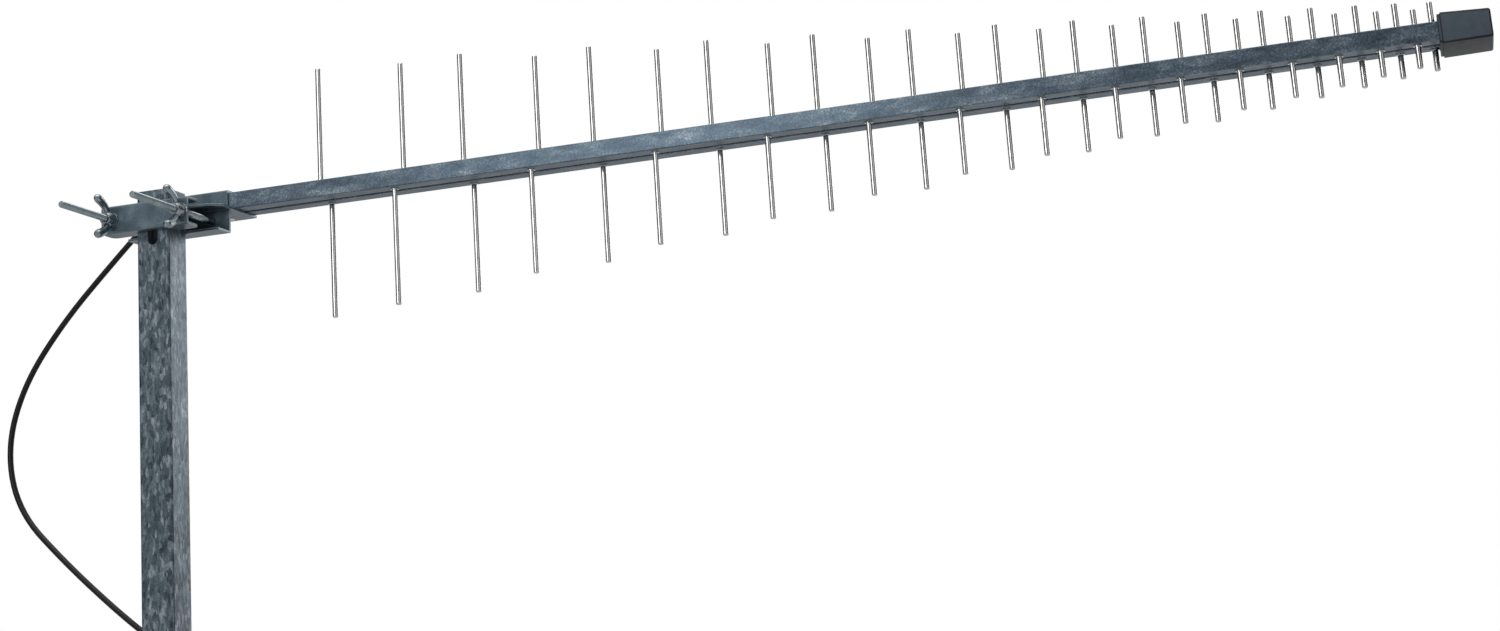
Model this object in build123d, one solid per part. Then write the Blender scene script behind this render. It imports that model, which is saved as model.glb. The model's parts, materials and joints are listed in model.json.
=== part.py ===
from build123d import *

import math
import os

# Twin-boom log-periodic antenna on a square mast stub, with its wing-nut mast clamp and its feed cable.
# Millimetres. X runs along the booms towards the short dipoles, Y across them, Z up the mast.
# The origin is the centre of the mast's foot.

# ---- driving dimensions -------------------------------------------------------------------------

# mast
MAST_SIDE = 30.0
MAST_WALL = 2.0
MAST_CORNER = 2.5
SMALLEST_INNER_CORNER = 0.3
MAST_LENGTH = 600.0
MAST_ABOVE_BOOM_AXIS = 3.5
SLOT_WIDTH = 10.0
SLOT_LENGTH = 26.0
SLOT_BOTTOM_BELOW_BOOM_AXIS = 44.0

# booms
BOOM_SIDE = 15.0
BOOM_WALL = 1.5
BOOM_CORNER = 0.8
BOOM_GAP = 5.0
BOOM_OFFSET_FROM_MAST = 51.0
FIRST_DIPOLE_X = 124.3
NOSE_BEYOND_LAST_DIPOLE = 22.2
BOOM_INSET = 2.0

# dipoles
DIPOLE_COUNT = 29
FIRST_PITCH = 68.9
PITCH_RATIO = 0.93966
LONGEST_REACH = 109.2
SHARED_REACH = 5.0
REACH_RATIO = 0.9415
ROD_RADIUS = 2.4
ROD_END_ROUND = 1.2
COLLAR_RADIUS = 3.4
COLLAR_HEIGHT = 1.2
RIVET_HEAD_RADIUS = 3.2
RIVET_HEAD_HEIGHT = 0.8

# sheet metal of the clamp
SHEET = 2.0
BEND = 2.0
CHANNEL_HEIGHT = 24.0
BRACKET_LEFT = -40.0
BRACKET_RIGHT = 46.5
BRACKET_FLANGE = 19.0
BRACKET_GRIP = 2.0
BRACKET_CORNER = 9.0
PLATE_LEFT = -43.5
PLATE_RIGHT = 37.5
PLATE_FLANGE = 20.0
PLATE_GRIP = 12.1
PLATE_CORNER = 5.0
PLATE_BEND = 2.5
SHELF_MARGIN = 2.0
NOTCH_FLARE = 6.0
SADDLE_LEFT = -2.0
SADDLE_RIGHT = 39.5
SADDLE_CLEARANCE = 0.15
MAST_CLEARANCE = 0.1
NOTCH_SIDE_CLEARANCE = 0.5

# studs, washers and wing nuts (M6 x 1)
STUD_RADIUS = 3.0
STUD_SPACING = 65.0
STUD_MIDDLE = -2.5
STUD_REACH = 74.0
STUD_HOLE_CLEARANCE = 0.3
STUD_HEAD_RADIUS = 7.0
STUD_HEAD_HEIGHT = 3.5
STUD_CHAMFER = 0.7
NUT_CLEARANCE = 0.05
WASHER_RADIUS = 7.5
WASHER_THICKNESS = 1.2
NUT_BASE_RADIUS = 6.5
NUT_TOP_RADIUS = 5.0
NUT_HEIGHT = 8.0
WING_THICKNESS = 3.2

# One wing's outline: distance from the nut's axis, height above its seat.
WING_OUTLINE = [
    (3.5, 1.0),
    (6.5, 1.0),
    (14.5, 9.0),
    (18.0, 14.5),
    (18.6, 19.5),
    (16.8, 22.0),
    (13.6, 21.5),
    (11.6, 17.5),
    (8.5, 11.5),
    (5.0, 7.2),
    (3.5, 7.2),
]

# saddle rivets
SADDLE_RIVET_RADIUS = 2.0
SADDLE_RIVET_HEAD_RADIUS = 3.6
SADDLE_RIVET_HEAD = 1.1
SADDLE_RIVET_TAIL_RADIUS = 2.8
SADDLE_RIVET_TAIL = 1.4
SADDLE_RIVET_INSET = 13.0
DOME_SHARE = 0.8

# plastic pieces
CAP_LENGTH = 40.2
CAP_WALL = 5.0
CAP_SIDE_WALL = 7.0
CAP_TOP_FALL = 3.0
CAP_ROUND = 2.5
CAP_OVERLAP = 18.2
CAP_CLEARANCE = 0.15
SPACER_LENGTH = 12.0
SPACER_SHARES = (0.24, 0.52, 0.8)
PLUG_DEPTH = 8.0
PLUG_FLANGE = 2.0
PLUG_CLEARANCE = 0.1
GLAND_LENGTH = 12.0
GLAND_RADIUS = 5.5
GLAND_TIP_RADIUS = 3.8

# feed
FEED_STRAP_THICKNESS = 1.0
FEED_STRAP_WIDTH = 8.0
FEED_SCREW_RADIUS = 1.5
FEED_SCREW_HEAD_RADIUS = 2.8
FEED_SCREW_HEAD = 1.8
FEED_SCREW_DEPTH = 7.0

# cable, its coil and its connector
CABLE_RADIUS = 2.5
COIL_MEAN_RADIUS = 28.0
COIL_BAND_RADIAL = 16.0
COIL_BAND_THICK = 11.0
COIL_ROUND = 3.0
COIL_BELOW_BOOM_AXIS = 425.0
COIL_MAST_GAP = 1.0
TIE_WIDTH = 4.8
TIE_THICKNESS = 1.2
TIE_CLEARANCE = 0.4
TIE_HEAD = (7.0, 5.5, 6.5)
FERRULE_RADIUS = 3.6
FERRULE_LENGTH = 12.0
CONNECTOR_RADIUS = 6.5
CONNECTOR_LENGTH = 12.0
SPIGOT_RADIUS = 4.0
SPIGOT_LENGTH = 9.0
SPIGOT_WALL = 1.2
SPIGOT_FLANGE_THICKNESS = 2.2
SPIGOT_FLANGE_GAP = 0.3
SOCKET_DEPTH = 5.0
CONNECTOR_CHAMFER = 1.0
RING_NUT_RADIUS = 9.8
RING_NUT_BORE = 7.95
RING_NUT_LENGTH = 20.0
RING_NUT_LIP = 3.0
RING_NUT_CLEARANCE = 0.06
RING_NUT_TOP_GAP = 0.1
RING_NUT_FLANGE_CLEARANCE = 1.0
RING_NUT_CHAMFER = 0.8
PIN_RADIUS = 0.9
PIN_BEYOND_SPIGOT = 1.0
PIN_CHAMFER = 0.4

# how far a cutting shape runs past what it cuts
PAST = 1.0
# an edge whose direction has at least this much X in it runs along the cap
CAP_EDGE_ALONG = 0.9
# the share of a run that the arc at its end may take
ARC_SHARE = 0.45

# ---- places worked out from them ----------------------------------------------------------------

HALF_MAST = MAST_SIDE / 2
HALF_BOOM = BOOM_SIDE / 2
AXIS_Z = MAST_LENGTH - MAST_ABOVE_BOOM_AXIS
NEAR_Y = BOOM_OFFSET_FROM_MAST
FAR_Y = NEAR_Y + BOOM_SIDE + BOOM_GAP
BOOM_REAR_X = SADDLE_LEFT + BOOM_INSET
PITCH_SUMS = [(1 - PITCH_RATIO**k) / (1 - PITCH_RATIO) for k in range(DIPOLE_COUNT)]
DIPOLE_X = [FIRST_DIPOLE_X + FIRST_PITCH * pitches for pitches in PITCH_SUMS]
BOOM_FRONT_X = DIPOLE_X[-1] + NOSE_BEYOND_LAST_DIPOLE
CHANNEL_TOP = AXIS_Z - HALF_BOOM
CHANNEL_BOTTOM = CHANNEL_TOP - CHANNEL_HEIGHT
STUD_Z = (CHANNEL_TOP + CHANNEL_BOTTOM) / 2
BRACKET_EDGE_Y = HALF_MAST + MAST_CLEARANCE - BRACKET_GRIP
BRACKET_WEB_Y = BRACKET_EDGE_Y + BRACKET_FLANGE
PLATE_EDGE_Y = -HALF_MAST - MAST_CLEARANCE + PLATE_GRIP
PLATE_FACE_Y = PLATE_EDGE_Y - PLATE_FLANGE
SADDLE_NEAR_Y = NEAR_Y - HALF_BOOM - SADDLE_CLEARANCE - SHEET
SADDLE_FAR_Y = FAR_Y + HALF_BOOM + SADDLE_CLEARANCE + SHEET
CAP_REAR_X = BOOM_FRONT_X - CAP_OVERLAP
COIL_Y = HALF_MAST + COIL_MAST_GAP + COIL_BAND_THICK / 2
COIL_Z = AXIS_Z - COIL_BELOW_BOOM_AXIS
TAIL_END = (1.0, COIL_Y + 5.5, COIL_Z - 56.0)

# The feed cable's route, chosen point by point: X, Y, and how far each lies below the boom axis.
# It runs out of the gland, down in one wide bow, and in to the coil.
CABLE_ROUTE_BELOW_AXIS = [
    (BOOM_REAR_X - GLAND_LENGTH, NEAR_Y, 0.0),
    (-35.0, NEAR_Y, 0.0),
    (-77.0, 48.0, 40.5),
    (-123.0, 43.5, 88.5),
    (-158.0, 37.0, 141.5),
    (-171.0, 32.0, 196.5),
    (-157.0, 28.5, 251.5),
    (-112.0, 25.0, 297.5),
    (-60.0, 22.5, 344.5),
    (-24.0, COIL_Y, 374.5),
    (-3.0, COIL_Y, 404.5),
    (0.0, COIL_Y, 431.5),
]
CABLE_ROUTE = [(x, y, AXIS_Z - below) for x, y, below in CABLE_ROUTE_BELOW_AXIS]
TAIL_ROUTE = [
    (0.0, COIL_Y, COIL_Z - 14.0),
    (0.5, COIL_Y + 1.0, COIL_Z - 28.0),
    (1.0, COIL_Y + 5.5, COIL_Z - 44.0),
    TAIL_END,
]


# ---- small shapes -------------------------------------------------------------------------------


def block(x, y, z):
    """A box from three (low, high) pairs."""
    size = (x[1] - x[0], y[1] - y[0], z[1] - z[0])
    return Pos(sum(x) / 2, sum(y) / 2, sum(z) / 2) * Box(*size)


def drum_x(x, y, z, radius):
    """A cylinder along X between the two values of x."""
    return Pos(sum(x) / 2, y, z) * Rot(0, 90, 0) * Cylinder(radius, x[1] - x[0])


def drum_y(x, y, z, radius):
    """A cylinder along Y between the two values of y."""
    return Pos(x, sum(y) / 2, z) * Rot(90, 0, 0) * Cylinder(radius, y[1] - y[0])


def drum_z(x, y, z, radius):
    """A cylinder along Z between the two values of z."""
    return Pos(x, y, sum(z) / 2) * Cylinder(radius, z[1] - z[0])


def square_tube_section(side, wall, corner):
    """The cross-section of a square tube with rounded corners."""
    inner = side - 2 * wall
    inner_corner = max(corner - wall, SMALLEST_INNER_CORNER)
    return RectangleRounded(side, side, corner) - RectangleRounded(inner, inner, inner_corner)


def tube_along(route, radius):
    """A round cord along a hand-chosen route, each corner as large an arc as its two runs allow."""
    points = [Vector(*p) for p in route]
    runs = [b - a for a, b in zip(points, points[1:])]
    radii = []
    for before, after in zip(runs, runs[1:]):
        turn = math.radians(before.get_angle(after))
        radii.append(ARC_SHARE * min(before.length, after.length) / math.tan(turn / 2))
    path = FilletPolyline(*points, radius=radii)
    section = Plane(origin=points[0], z_dir=runs[0]) * Circle(radius)
    return sweep(section, path=path)


# ---- mast ---------------------------------------------------------------------------------------


def mast_tube():
    """Square tube, open at both ends, with one upright slot in its front wall below the clamp."""
    tube = extrude(square_tube_section(MAST_SIDE, MAST_WALL, MAST_CORNER), MAST_LENGTH)
    slot_low = AXIS_Z - SLOT_BOTTOM_BELOW_BOOM_AXIS
    middle = (0, -HALF_MAST, slot_low + SLOT_LENGTH / 2)
    slot = Plane(origin=middle, x_dir=(0, 0, 1), z_dir=(0, -1, 0)) * SlotOverall(SLOT_LENGTH, SLOT_WIDTH)
    return tube - extrude(slot, MAST_WALL + PAST, both=True)


# ---- booms and dipoles --------------------------------------------------------------------------


def dipole_reach(k):
    """Height of rod tips above the boom axis. The two rearmost dipoles are cut alike."""
    return SHARED_REACH + (LONGEST_REACH - SHARED_REACH) * REACH_RATIO ** max(k - 1, 0)


def boom_of(k, up):
    """The Y of the boom that carries dipole k's upper or lower rod: the sides swap at every dipole."""
    return NEAR_Y if (k % 2 == 0) == up else FAR_Y


def saddle_rivet_places():
    """The (x, y) of the saddle's rivets, two in each boom."""
    xs = (SADDLE_LEFT + SADDLE_RIVET_INSET, SADDLE_RIGHT - SADDLE_RIVET_INSET)
    return [(x, y) for x in xs for y in (NEAR_Y, FAR_Y)]


def boom(y):
    """One square boom tube with a hole under every rod, rivet and feed screw that it carries."""
    section = Plane.YZ.offset(BOOM_REAR_X) * square_tube_section(BOOM_SIDE, BOOM_WALL, BOOM_CORNER)
    tube = Pos(0, y, AXIS_Z) * extrude(section, BOOM_FRONT_X - BOOM_REAR_X)
    for k, x in enumerate(DIPOLE_X):
        for up in (True, False):
            if boom_of(k, up) == y:
                wall = (AXIS_Z + HALF_BOOM - 2 * BOOM_WALL, AXIS_Z + HALF_BOOM + PAST)
                if not up:
                    wall = (AXIS_Z - HALF_BOOM - PAST, AXIS_Z - HALF_BOOM + 2 * BOOM_WALL)
                tube -= drum_z(x, y, wall, ROD_RADIUS)
    for x, rivet_y in saddle_rivet_places():
        if rivet_y == y:
            tube -= drum_z(x, y, (AXIS_Z - BOOM_SIDE, AXIS_Z + BOOM_SIDE), SADDLE_RIVET_RADIUS)
    tube -= drum_x((BOOM_FRONT_X - FEED_SCREW_DEPTH, BOOM_FRONT_X + PAST), y, AXIS_Z, FEED_SCREW_RADIUS)
    return tube


def rod(x, y, reach):
    """One riveted rod standing on a boom's top wall: head, shank, collar and a rounded end."""
    inside = HALF_BOOM - BOOM_WALL
    r = ROD_RADIUS
    e = ROD_END_ROUND
    diagonal = e * math.sin(math.pi / 4)
    outline = [
        (0, inside - RIVET_HEAD_HEIGHT),
        (RIVET_HEAD_RADIUS, inside - RIVET_HEAD_HEIGHT),
        (RIVET_HEAD_RADIUS, inside),
        (r, inside),
        (r, HALF_BOOM),
        (COLLAR_RADIUS, HALF_BOOM),
        (COLLAR_RADIUS, HALF_BOOM + COLLAR_HEIGHT),
        (r, HALF_BOOM + COLLAR_HEIGHT),
        (r, reach - e),
    ]
    side = Polyline(*outline)
    end = ThreePointArc((r, reach - e), (r - e + diagonal, reach - e + diagonal), (r - e, reach))
    close = Polyline((r - e, reach), (0, reach), (0, inside - RIVET_HEAD_HEIGHT))
    profile = Plane.XZ * make_face(side + end + close)
    return Pos(x, y, AXIS_Z) * revolve(profile, Axis.Z)


def dipole(k):
    """A dipole's two rods: one up from one boom, one down from the other."""
    reach = dipole_reach(k)
    x = DIPOLE_X[k]
    upper = rod(x, boom_of(k, True), reach)
    lower = rod(x, boom_of(k, False), reach)
    flip = Pos(x, boom_of(k, False), AXIS_Z) * Rot(180, 0, 0) * Pos(-x, -boom_of(k, False), -AXIS_Z)
    return Compound([upper.solid(), (flip * lower).solid()])


# ---- front end ----------------------------------------------------------------------------------


def front_plugs():
    """Two aluminium plugs, one in each boom's front end, tapped for the feed screws."""
    half = HALF_BOOM - BOOM_WALL - PLUG_CLEARANCE
    made = []
    for y in (NEAR_Y, FAR_Y):
        x = (BOOM_FRONT_X - PLUG_DEPTH, BOOM_FRONT_X)
        body = block(x, (y - half, y + half), (AXIS_Z - half, AXIS_Z + half))
        body -= drum_x((BOOM_FRONT_X - FEED_SCREW_DEPTH, BOOM_FRONT_X + PAST), y, AXIS_Z, FEED_SCREW_RADIUS)
        made.append(body.solid())
    return Compound(made)


def feed_strap():
    """Brass strap across the two boom ends, with a hole for each screw."""
    x = (BOOM_FRONT_X, BOOM_FRONT_X + FEED_STRAP_THICKNESS)
    half = FEED_STRAP_WIDTH / 2
    strap = block(x, (NEAR_Y - half, FAR_Y + half), (AXIS_Z - half, AXIS_Z + half))
    for y in (NEAR_Y, FAR_Y):
        strap -= drum_x((x[0] - PAST, x[1] + PAST), y, AXIS_Z, FEED_SCREW_RADIUS)
    return strap


def feed_screws():
    """The two screws that hold the strap."""
    seat = BOOM_FRONT_X + FEED_STRAP_THICKNESS
    made = []
    for y in (NEAR_Y, FAR_Y):
        shank = drum_x((BOOM_FRONT_X - FEED_SCREW_DEPTH, seat), y, AXIS_Z, FEED_SCREW_RADIUS)
        head = drum_x((seat, seat + FEED_SCREW_HEAD), y, AXIS_Z, FEED_SCREW_HEAD_RADIUS)
        made.append((shank + head).solid())
    return Compound(made)


def nose_cap():
    """Moulded cap over both boom ends, with room inside for the strap and the screw heads."""
    x = (CAP_REAR_X, CAP_REAR_X + CAP_LENGTH)
    low = AXIS_Z - HALF_BOOM - CAP_WALL
    high = AXIS_Z + HALF_BOOM + CAP_WALL
    side = Polygon((x[0], low), (x[1], low), (x[1], high - CAP_TOP_FALL), (x[0], high), align=None)
    depth = FAR_Y - NEAR_Y + BOOM_SIDE + 2 * CAP_SIDE_WALL
    shell = Pos(0, FAR_Y + HALF_BOOM + CAP_SIDE_WALL, 0) * extrude(Plane.XZ * side, depth)
    lengthwise = shell.edges().filter_by(lambda e: abs(e.tangent_at(0).X) > CAP_EDGE_ALONG)
    shell = fillet(lengthwise + shell.faces().sort_by(Axis.X)[-1].edges(), CAP_ROUND)
    grip = HALF_BOOM + CAP_CLEARANCE
    pocket_x = (x[0] - PAST, x[1] - CAP_WALL)
    return shell - block(pocket_x, (NEAR_Y - grip, FAR_Y + grip), (AXIS_Z - grip, AXIS_Z + grip))


def boom_spacer(share):
    """Plastic spacer held in the gap between the booms, at a share of their length."""
    x = BOOM_REAR_X + share * (BOOM_FRONT_X - BOOM_REAR_X)
    low = NEAR_Y + HALF_BOOM
    return block((x - SPACER_LENGTH / 2, x + SPACER_LENGTH / 2), (low, low + BOOM_GAP),
                 (AXIS_Z - HALF_BOOM + BOOM_CORNER, AXIS_Z + HALF_BOOM - BOOM_CORNER))


# ---- rear end -----------------------------------------------------------------------------------


def rear_plug(y, cable_hole):
    """Moulded plug in a boom's rear end, with a flange; the near one is bored for the cable."""
    inner = BOOM_SIDE - 2 * BOOM_WALL - 2 * PLUG_CLEARANCE
    spigot = block((BOOM_REAR_X, BOOM_REAR_X + PLUG_DEPTH), (y - inner / 2, y + inner / 2),
                   (AXIS_Z - inner / 2, AXIS_Z + inner / 2))
    flange = block((BOOM_REAR_X - PLUG_FLANGE, BOOM_REAR_X), (y - HALF_BOOM, y + HALF_BOOM),
                   (AXIS_Z - HALF_BOOM, AXIS_Z + HALF_BOOM))
    made = spigot + flange
    if cable_hole:
        through = (BOOM_REAR_X - PLUG_FLANGE - PAST, BOOM_REAR_X + PLUG_DEPTH + PAST)
        made -= drum_x(through, y, AXIS_Z, CABLE_RADIUS)
    return made


def cable_gland():
    """Tapered rubber strain relief behind the near boom's plug."""
    root = BOOM_REAR_X - PLUG_FLANGE
    tip = BOOM_REAR_X - GLAND_LENGTH
    cone = Rot(0, -90, 0) * Cone(GLAND_RADIUS, GLAND_TIP_RADIUS, root - tip)
    cone = Pos((root + tip) / 2, NEAR_Y, AXIS_Z) * cone
    return cone - drum_x((tip - PAST, root + PAST), NEAR_Y, AXIS_Z, CABLE_RADIUS)


def inner_coax():
    """The stretch of cable inside the near boom, from the gland's tip to the front plug."""
    return drum_x((BOOM_REAR_X - GLAND_LENGTH, BOOM_FRONT_X - PLUG_DEPTH), NEAR_Y, AXIS_Z, CABLE_RADIUS)


def boom_saddle():
    """Folded cover over both booms, riveted through their top walls."""
    x = (SADDLE_LEFT, SADDLE_RIGHT)
    top = AXIS_Z + HALF_BOOM + SADDLE_CLEARANCE
    outer = block(x, (SADDLE_NEAR_Y, SADDLE_FAR_Y), (CHANNEL_TOP, top + SHEET))
    outer = fillet(outer.edges().filter_by(Axis.X).group_by(Axis.Z)[-1], BEND)
    inner_y = (SADDLE_NEAR_Y + SHEET, SADDLE_FAR_Y - SHEET)
    inner = block((x[0] - PAST, x[1] + PAST), inner_y, (CHANNEL_TOP - PAST, top))
    made = outer - inner
    for rivet_x, y in saddle_rivet_places():
        made -= drum_z(rivet_x, y, (top - PAST, top + SHEET + PAST), SADDLE_RIVET_RADIUS)
    return made


def blind_rivet(outer_face):
    """A blind rivet on +Z, its head on outer_face and its tail inside a boom's wall."""
    inside = HALF_BOOM - BOOM_WALL
    shank = drum_z(0, 0, (inside - SADDLE_RIVET_TAIL, outer_face), SADDLE_RIVET_RADIUS)
    tail = drum_z(0, 0, (inside - SADDLE_RIVET_TAIL, inside), SADDLE_RIVET_TAIL_RADIUS)
    head = drum_z(0, 0, (outer_face, outer_face + SADDLE_RIVET_HEAD), SADDLE_RIVET_HEAD_RADIUS)
    head = fillet(head.edges().group_by(Axis.Z)[-1], SADDLE_RIVET_HEAD * DOME_SHARE)
    return shank + tail + head


def saddle_rivets():
    """Eight blind rivets into the booms: four through the saddle's top, four through the bracket's plate."""
    above = blind_rivet(HALF_BOOM + SADDLE_CLEARANCE + SHEET)
    below = Rot(180, 0, 0) * blind_rivet(HALF_BOOM + SHEET)
    places = [Pos(x, y, AXIS_Z) for x, y in saddle_rivet_places()]
    return Compound([(place * rivet).solid() for place in places for rivet in (above, below)])


# ---- mast clamp ---------------------------------------------------------------------------------


def mast_notch(edge_y, bottom_y):
    """A flared notch that a square mast sits in, cut from a flange's edge down to bottom_y."""
    half = HALF_MAST + NOTCH_SIDE_CLEARANCE
    toward = 1 if edge_y > bottom_y else -1
    flare = min(NOTCH_FLARE, abs(edge_y - bottom_y) / 2)
    shoulder = edge_y - toward * flare
    past = edge_y + toward
    outline = Polygon(
        (-half, bottom_y),
        (half, bottom_y),
        (half, shoulder),
        (half + flare / 2, edge_y),
        (half + flare / 2, past),
        (-half - flare / 2, past),
        (-half - flare / 2, edge_y),
        (-half, shoulder),
        align=None,
    )
    return Pos(0, 0, CHANNEL_BOTTOM - SHEET) * extrude(outline, CHANNEL_HEIGHT + 2 * SHEET, dir=(0, 0, 1))


def stud_places():
    """The X of the two studs, one each side of the mast."""
    return (STUD_MIDDLE - STUD_SPACING / 2, STUD_MIDDLE + STUD_SPACING / 2)


def mast_bracket():
    """Channel behind the mast, whose top plate widens under the booms."""
    x = (BRACKET_LEFT, BRACKET_RIGHT)
    edge = BRACKET_EDGE_Y
    web = BRACKET_WEB_Y
    channel = block(x, (edge, web + SHEET), (CHANNEL_BOTTOM, CHANNEL_TOP))
    inside_z = (CHANNEL_BOTTOM + SHEET, CHANNEL_TOP - SHEET)
    channel -= block((x[0] - PAST, x[1] + PAST), (edge - PAST, web), inside_z)
    channel -= mast_notch(edge, HALF_MAST + MAST_CLEARANCE)
    bend = channel.edges().filter_by(Axis.X).group_by(Axis.Y)[-1].group_by(Axis.Z)[0]
    channel = fillet(bend, BEND)
    corners = channel.edges().filter_by(Axis.Z).group_by(Axis.X)[-1].group_by(Axis.Y)[0]
    channel = chamfer(corners.group_by(Axis.Z)[-1], BRACKET_CORNER)
    shelf_x = (SADDLE_LEFT - SHELF_MARGIN, BRACKET_RIGHT)
    channel += block(shelf_x, (web, SADDLE_FAR_Y), (CHANNEL_TOP - SHEET, CHANNEL_TOP))
    for stud_x in stud_places():
        hole = STUD_RADIUS + STUD_HOLE_CLEARANCE
        channel -= drum_y(stud_x, (web - PAST, web + SHEET + PAST), STUD_Z, hole)
    for rivet_x, y in saddle_rivet_places():
        channel -= drum_z(rivet_x, y, (CHANNEL_TOP - SHEET - PAST, CHANNEL_TOP + PAST), SADDLE_RIVET_RADIUS)
    return channel


def clamp_plate():
    """Channel in front of the mast, notched round it, with a stud hole near each end."""
    x = (PLATE_LEFT, PLATE_RIGHT)
    plate = block(x, (PLATE_FACE_Y, PLATE_EDGE_Y), (CHANNEL_BOTTOM, CHANNEL_TOP))
    bends = plate.edges().filter_by(Axis.X).group_by(Axis.Y)[0]
    plate = fillet(bends, PLATE_BEND)
    plate -= block((x[0] - PAST, x[1] + PAST), (PLATE_FACE_Y + SHEET, PLATE_EDGE_Y + PAST),
                   (CHANNEL_BOTTOM + SHEET, CHANNEL_TOP - SHEET))
    plate -= mast_notch(PLATE_EDGE_Y, -HALF_MAST - MAST_CLEARANCE)
    ends = plate.edges().filter_by(Axis.Z).group_by(Axis.Y)[-1]
    ends = ends.filter_by(lambda e: abs(e.center().X - sum(x) / 2) > (x[1] - x[0]) / 2 - 1)
    plate = fillet(ends, PLATE_CORNER)
    for stud_x in stud_places():
        hole = STUD_RADIUS + STUD_HOLE_CLEARANCE
        plate -= drum_y(stud_x, (PLATE_FACE_Y - PAST, PLATE_FACE_Y + SHEET + PAST), STUD_Z, hole)
    return plate


def stud(x):
    """Carriage bolt: domed head behind the bracket's web, shank out towards the front."""
    seat = BRACKET_WEB_Y + SHEET
    shank = drum_y(x, (PLATE_FACE_Y - STUD_REACH, seat), STUD_Z, STUD_RADIUS)
    shank = chamfer(shank.edges().group_by(Axis.Y)[0], STUD_CHAMFER)
    head = drum_y(x, (seat, seat + STUD_HEAD_HEIGHT), STUD_Z, STUD_HEAD_RADIUS)
    head = fillet(head.edges().group_by(Axis.Y)[-1], STUD_HEAD_HEIGHT * DOME_SHARE)
    return shank + head


def clamp_washers():
    """Two flat washers on the clamp plate's face, one under each wing nut."""
    y = (PLATE_FACE_Y - WASHER_THICKNESS, PLATE_FACE_Y)
    made = []
    for x in stud_places():
        disc = drum_y(x, y, STUD_Z, WASHER_RADIUS)
        disc -= drum_y(x, (y[0] - PAST, y[1] + PAST), STUD_Z, STUD_RADIUS + STUD_HOLE_CLEARANCE)
        made.append(disc.solid())
    return Compound(made)


def wing_nut(x):
    """Wing nut: a tapered hub and two wings that lean outwards, its axis along the stud."""
    hub = Pos(0, 0, NUT_HEIGHT / 2) * Cone(NUT_BASE_RADIUS, NUT_TOP_RADIUS, NUT_HEIGHT)
    made = hub
    for side in (1, -1):
        outline = Polygon(*[(side * out, up) for out, up in WING_OUTLINE], align=None)
        made += extrude(Plane.YZ * outline, WING_THICKNESS / 2, both=True)
    made -= drum_z(0, 0, (-PAST, NUT_HEIGHT + PAST), STUD_RADIUS + NUT_CLEARANCE)
    seat = PLATE_FACE_Y - WASHER_THICKNESS - NUT_CLEARANCE
    return Pos(x, seat, STUD_Z) * Rot(90, 0, 0) * made


# ---- cable --------------------------------------------------------------------------------------


def cable_coil():
    """The outer shape of the put-away turns: a flat ring standing behind the mast."""
    band = Pos(COIL_MEAN_RADIUS, 0) * RectangleRounded(COIL_BAND_RADIAL, COIL_BAND_THICK, COIL_ROUND)
    ring = revolve(Plane.XZ * band, Axis.Z)
    return Pos(-COIL_MEAN_RADIUS, COIL_Y, COIL_Z) * Rot(90, 0, 0) * ring


def cable_tie():
    """Strap round the mast and one side of the coil, with its lock at the left."""
    near = HALF_MAST + TIE_CLEARANCE
    back = HALF_MAST + COIL_MAST_GAP + COIL_BAND_THICK + TIE_CLEARANCE
    bundle = COIL_BAND_RADIAL / 2 + TIE_CLEARANCE
    front = [(-near, -near), (near, -near), (near, near)]
    opening = Polygon(*front, (bundle, back), (-bundle, back), (-near, near), align=None)
    band = offset(opening, TIE_THICKNESS) - opening
    strap = Pos(0, 0, COIL_Z - TIE_WIDTH / 2) * extrude(band, TIE_WIDTH)
    length, depth, height = TIE_HEAD
    lock_z = (COIL_Z - height / 2, COIL_Z + height / 2)
    lock = block((-near - depth, -near), (-length / 2, length / 2), lock_z)
    return strap + lock


def connector_body():
    """Crimp ferrule, body and spigot of the plug on the cable's end, pointing down."""
    x, y, top = TAIL_END
    ferrule = drum_z(x, y, (top - FERRULE_LENGTH, top), FERRULE_RADIUS)
    shoulder = top - FERRULE_LENGTH
    body = drum_z(x, y, (shoulder - CONNECTOR_LENGTH, shoulder), CONNECTOR_RADIUS)
    body = chamfer(body.edges().group_by(Axis.Z)[-1], CONNECTOR_CHAMFER)
    face = connector_face_z()
    tip = face - SPIGOT_LENGTH
    spigot = drum_z(x, y, (tip, face), SPIGOT_RADIUS)
    flange_top = face - RING_NUT_LIP - SPIGOT_FLANGE_GAP
    flange_radius = RING_NUT_BORE - RING_NUT_FLANGE_CLEARANCE
    flange = drum_z(x, y, (flange_top - SPIGOT_FLANGE_THICKNESS, flange_top), flange_radius)
    made = ferrule + body + spigot + flange
    return made - drum_z(x, y, (tip - PAST, tip + SOCKET_DEPTH), SPIGOT_RADIUS - SPIGOT_WALL)


def connector_face_z():
    """The Z of the connector body's lower face, where the ring nut starts."""
    return TAIL_END[2] - FERRULE_LENGTH - CONNECTOR_LENGTH


def connector_pin():
    """Gilt centre contact."""
    x, y, _ = TAIL_END
    tip = connector_face_z() - SPIGOT_LENGTH
    pin = drum_z(x, y, (tip - PIN_BEYOND_SPIGOT, tip + SOCKET_DEPTH), PIN_RADIUS)
    return chamfer(pin.edges().group_by(Axis.Z)[0], PIN_CHAMFER)


def connector_nut():
    """Ring nut that turns freely on the spigot, held by the spigot's flange."""
    x, y, _ = TAIL_END
    top = connector_face_z() - RING_NUT_TOP_GAP
    low = top - RING_NUT_LENGTH
    ring = drum_z(x, y, (low, top), RING_NUT_RADIUS)
    ring = chamfer(ring.edges().group_by(Axis.Z)[-1] + ring.edges().group_by(Axis.Z)[0], RING_NUT_CHAMFER)
    ring -= drum_z(x, y, (low - PAST, top - RING_NUT_LIP), RING_NUT_BORE)
    return ring - drum_z(x, y, (low - PAST, top + PAST), SPIGOT_RADIUS + RING_NUT_CLEARANCE)


# ---- write every piece --------------------------------------------------------------------------


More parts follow.
